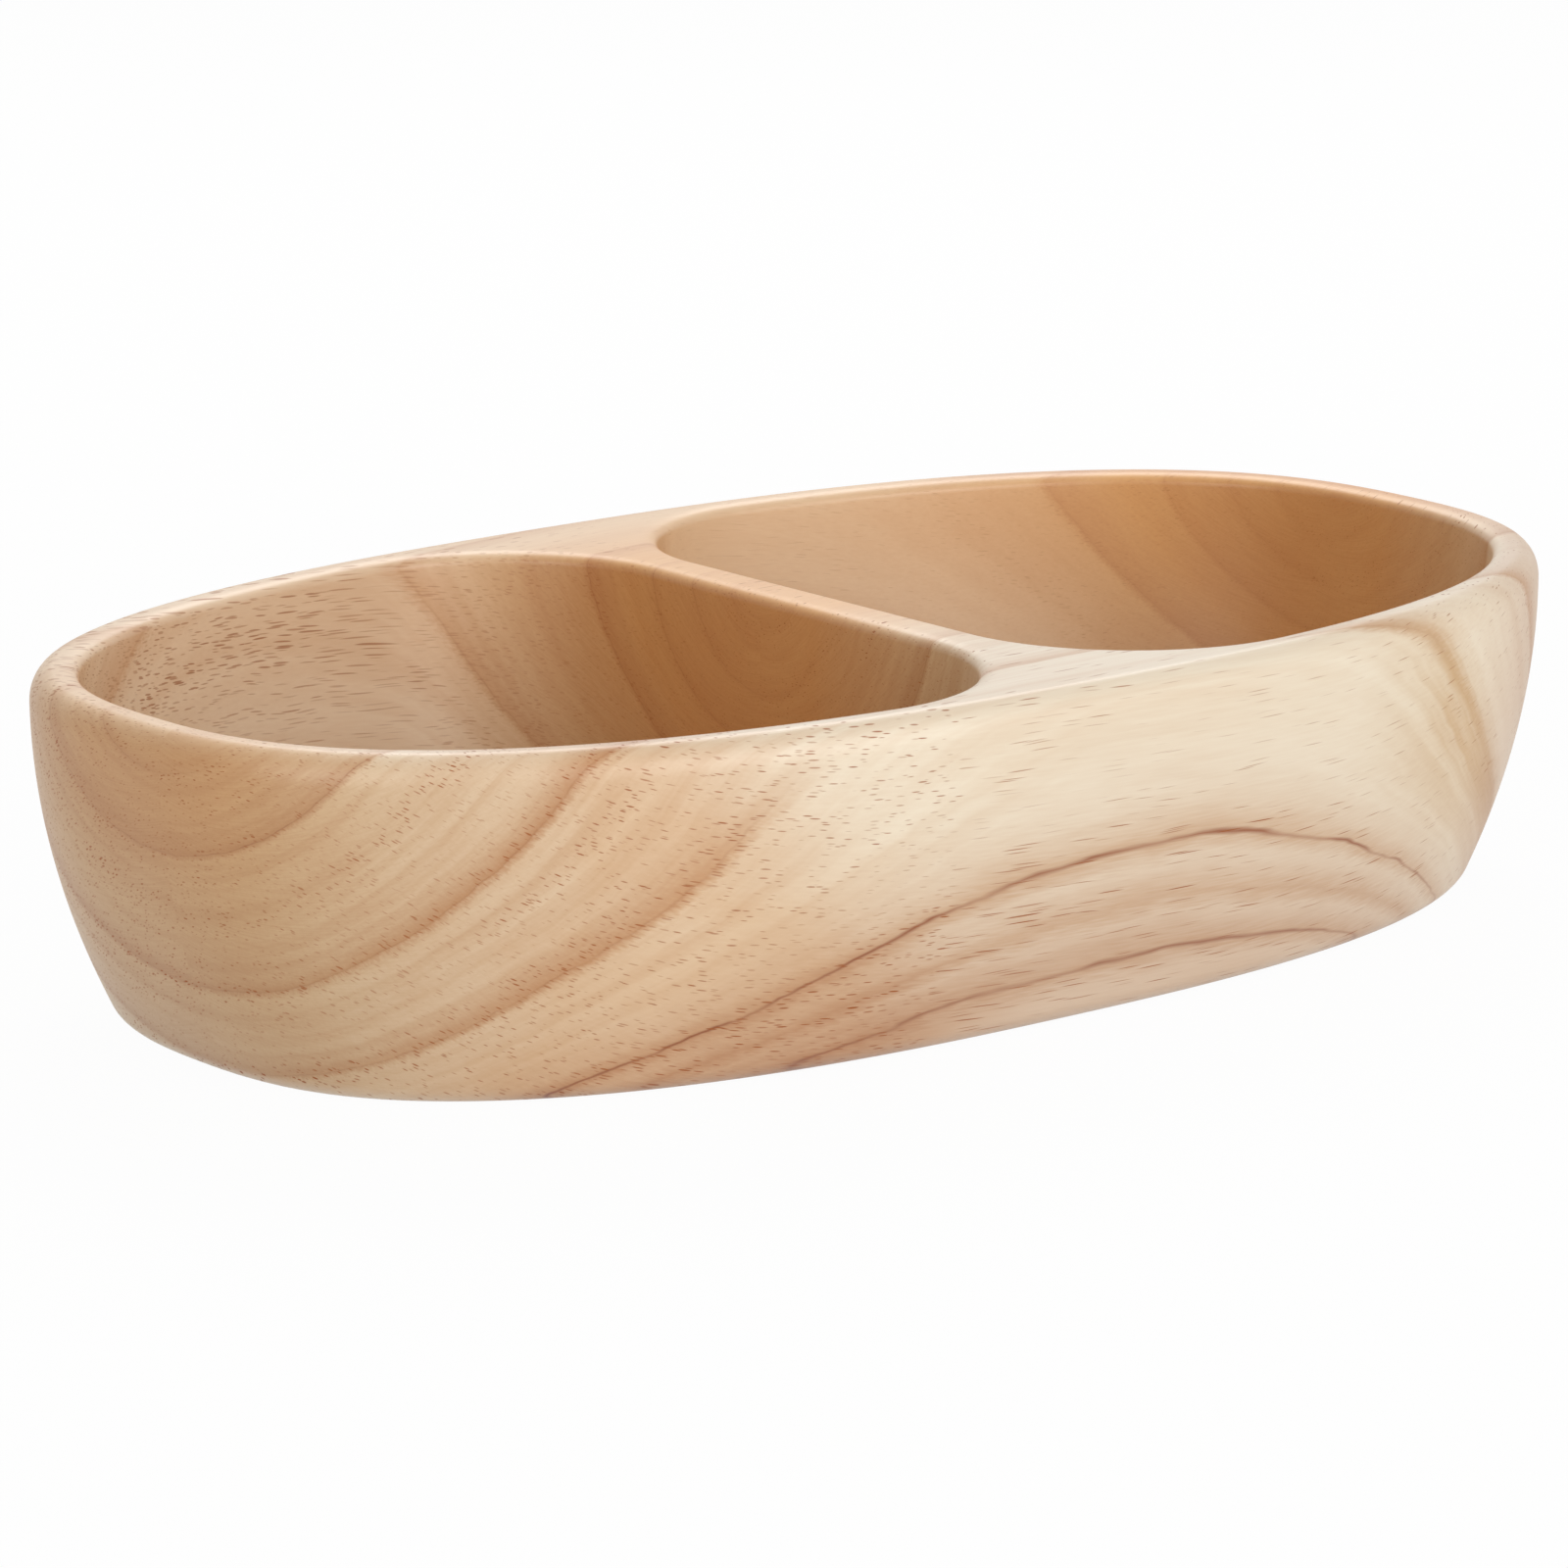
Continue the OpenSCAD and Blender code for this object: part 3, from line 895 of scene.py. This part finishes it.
class CarveBowl(bpy.types.Operator):
    """Carve the divided bowl and give it its lacquered timber"""
    bl_idname = "bowl.carve"
    bl_label = "Carve Divided Bowl"

    def execute(self, context):
        sizes = context.scene.bowl_sizes
        # A size has the same label in the panel and in the carving's node tree
        values = {
            sizes.bl_rna.properties[key].name: getattr(sizes, key)
            for key in BowlSizes.__annotations__}
        carving = carving_group(list(values))
        values["Timber"] = timber_material(context.scene.bowl_timber)
        bowl = plain_mesh("carved_bowl", carving, values)
        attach(bowl, "root")
        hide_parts("bowl_body")
        return {"FINISHED"}


class StageBowl(bpy.types.Operator):
    """Set the pale floor, the soft lights and the camera"""
    bl_idname = "bowl.stage"
    bl_label = "Set Bowl's Studio"

    def execute(self, context):
        scene = context.scene
        stage_floor()
        stage_lights()
        stage_camera()
        scene.view_settings.view_transform = "Standard"
        return {"FINISHED"}


# The floor's own colour, and how much of its glow takes over where the camera sees it
FLOOR_COLOUR = "#ececea"
FLOOR_GLOW = 0.96
FLOOR_REACH = 4.0
WHITE = "#ffffff"
# How strongly the white room lights the bowl. Where it is seen it is plain white
ROOM_LIGHT = 0.43
# Each lamp's place and width in metres and its power in watts
LAMPS = (
    ("front_right_softbox", (0.15, -1.34, 0.36), 1.0, 11.2),
    ("front_left_softbox", (-1.25, -0.48, 0.36), 1.0, 7.5),
    ("back_softbox", (0.62, 0.77, 0.99), 0.7, 7.4))
LAMP_AIM = (0, 0, 0.03)
# The camera: its turn round the bowl, its height over it and its roll in degrees, how far it
# stands from where it aims in metres, and its lens
CAMERA_AROUND = -38.605
CAMERA_ABOVE = 13.448
CAMERA_ROLL = -0.299
CAMERA_DISTANCE = 1.30677
CAMERA_AIM = (0, 0, 0.0315)
CAMERA_SENSOR = 36
CAMERA_LENS = 165.87
CAMERA_SHIFT = (-0.01801, -0.00959)
CAMERA_CLIP = (0.05, 30)


def seen_share(tree):
    """1 where a ray comes from the camera, a gloss or clear glass, and 0 where it carries light."""
    path = add(tree, "ShaderNodeLightPath")
    share = path.outputs["Is Camera Ray"]
    for ray in ("Is Glossy Ray", "Is Transmission Ray"):
        share = add(tree, MATH, [share, path.outputs[ray]], operation="ADD", use_clamp=True)
    return share


def stage_floor():
    """A broad pale floor that keeps the bowl's shadow and is white round it."""
    mesh = bpy.data.meshes.new("studio_floor")
    reach = FLOOR_REACH
    mesh.from_pydata(
        [(-reach, -reach, 0), (reach, -reach, 0), (reach, reach, 0), (-reach, reach, 0)],
        [], [(0, 1, 2, 3)])
    floor = bpy.data.objects.new("studio_floor", mesh)
    bpy.context.scene.collection.objects.link(floor)
    material = bpy.data.materials.new("matt_white_floor")
    material.use_nodes = True
    tree = material.node_tree
    tree.nodes.clear()
    seen = seen_share(tree)
    matt = add(tree, "ShaderNodeBsdfDiffuse", {"Color": linear(FLOOR_COLOUR)})
    glow = add(tree, "ShaderNodeEmission", {"Color": linear(WHITE), "Strength": seen})
    share = add(tree, MATH, [seen, FLOOR_GLOW], operation="MULTIPLY")
    skin = add(tree, "ShaderNodeMixShader", [share, matt, glow])
    add(tree, "ShaderNodeOutputMaterial", [skin])
    mesh.materials.append(material)


def stage_lights():
    """Soft lamps low at the front and high at the back, and a white room seen round them."""
    world = bpy.data.worlds.new("studio_room")
    bpy.context.scene.world = world
    world.use_nodes = True
    tree = world.node_tree
    tree.nodes.clear()
    strength = add(
        tree, MATH, [seen_share(tree), 1 - ROOM_LIGHT, ROOM_LIGHT], operation="MULTIPLY_ADD")
    sky = add(tree, "ShaderNodeBackground", {"Color": linear(WHITE), "Strength": strength})
    add(tree, "ShaderNodeOutputWorld", [sky])
    for name, place, width, power in LAMPS:
        light = bpy.data.lights.new(name, "AREA")
        light.shape = "SQUARE"
        light.size = width
        light.energy = power
        lamp = bpy.data.objects.new(name, light)
        bpy.context.scene.collection.objects.link(lamp)
        aim = Vector(LAMP_AIM) - Vector(place)
        turned = aim.to_track_quat("-Z", "Y").to_matrix().to_4x4()
        lamp.matrix_world = Matrix.Translation(place) @ turned


def stage_camera():
    """The camera, at the height and turn from which the bowl is seen."""
    around = math.radians(CAMERA_AROUND)
    above = math.radians(CAMERA_ABOVE)
    roll = math.radians(CAMERA_ROLL)
    back = Vector((
        math.sin(around) * math.cos(above), -math.cos(around) * math.cos(above), math.sin(above)))
    right = Vector((math.cos(around), math.sin(around), 0))
    up = back.cross(right)
    level_right = right * math.cos(roll) + up * math.sin(roll)
    level_up = up * math.cos(roll) - right * math.sin(roll)
    turned = Matrix((level_right, level_up, back)).transposed().to_4x4()
    lens = bpy.data.cameras.new("photo_camera")
    lens.sensor_width = CAMERA_SENSOR
    lens.lens = CAMERA_LENS
    lens.shift_x, lens.shift_y = CAMERA_SHIFT
    lens.clip_start, lens.clip_end = CAMERA_CLIP
    camera = bpy.data.objects.new("photo_camera", lens)
    bpy.context.scene.collection.objects.link(camera)
    place = Vector(CAMERA_AIM) + back * CAMERA_DISTANCE
    camera.matrix_world = Matrix.Translation(place) @ turned
    bpy.context.scene.camera = camera


class BowlPanel(bpy.types.Panel):
    """Sizes and steps of the divided bowl"""
    bl_idname = "VIEW3D_PT_divided_bowl"
    bl_label = "Divided Bowl"
    bl_space_type = "VIEW_3D"
    bl_region_type = "UI"
    bl_category = "Bowl"

    def draw(self, context):
        layout = self.layout
        for group in (context.scene.bowl_sizes, context.scene.bowl_timber):
            for name in group.__annotations__:
                layout.prop(group, name)
        layout.operator(CarveBowl.bl_idname)
        layout.operator(StageBowl.bl_idname)


CLASSES = (BowlSizes, TimberLook, CarveBowl, StageBowl, BowlPanel)


def register():
    for item in CLASSES:
        bpy.utils.register_class(item)
    bpy.types.Scene.bowl_sizes = PointerProperty(type=BowlSizes)
    bpy.types.Scene.bowl_timber = PointerProperty(type=TimberLook)


def unregister():
    del bpy.types.Scene.bowl_timber
    del bpy.types.Scene.bowl_sizes
    for item in reversed(CLASSES):
        bpy.utils.unregister_class(item)


def main():
    register()
    bpy.ops.bowl.carve()
    bpy.ops.bowl.stage()


if __name__ == "__main__":
    main()
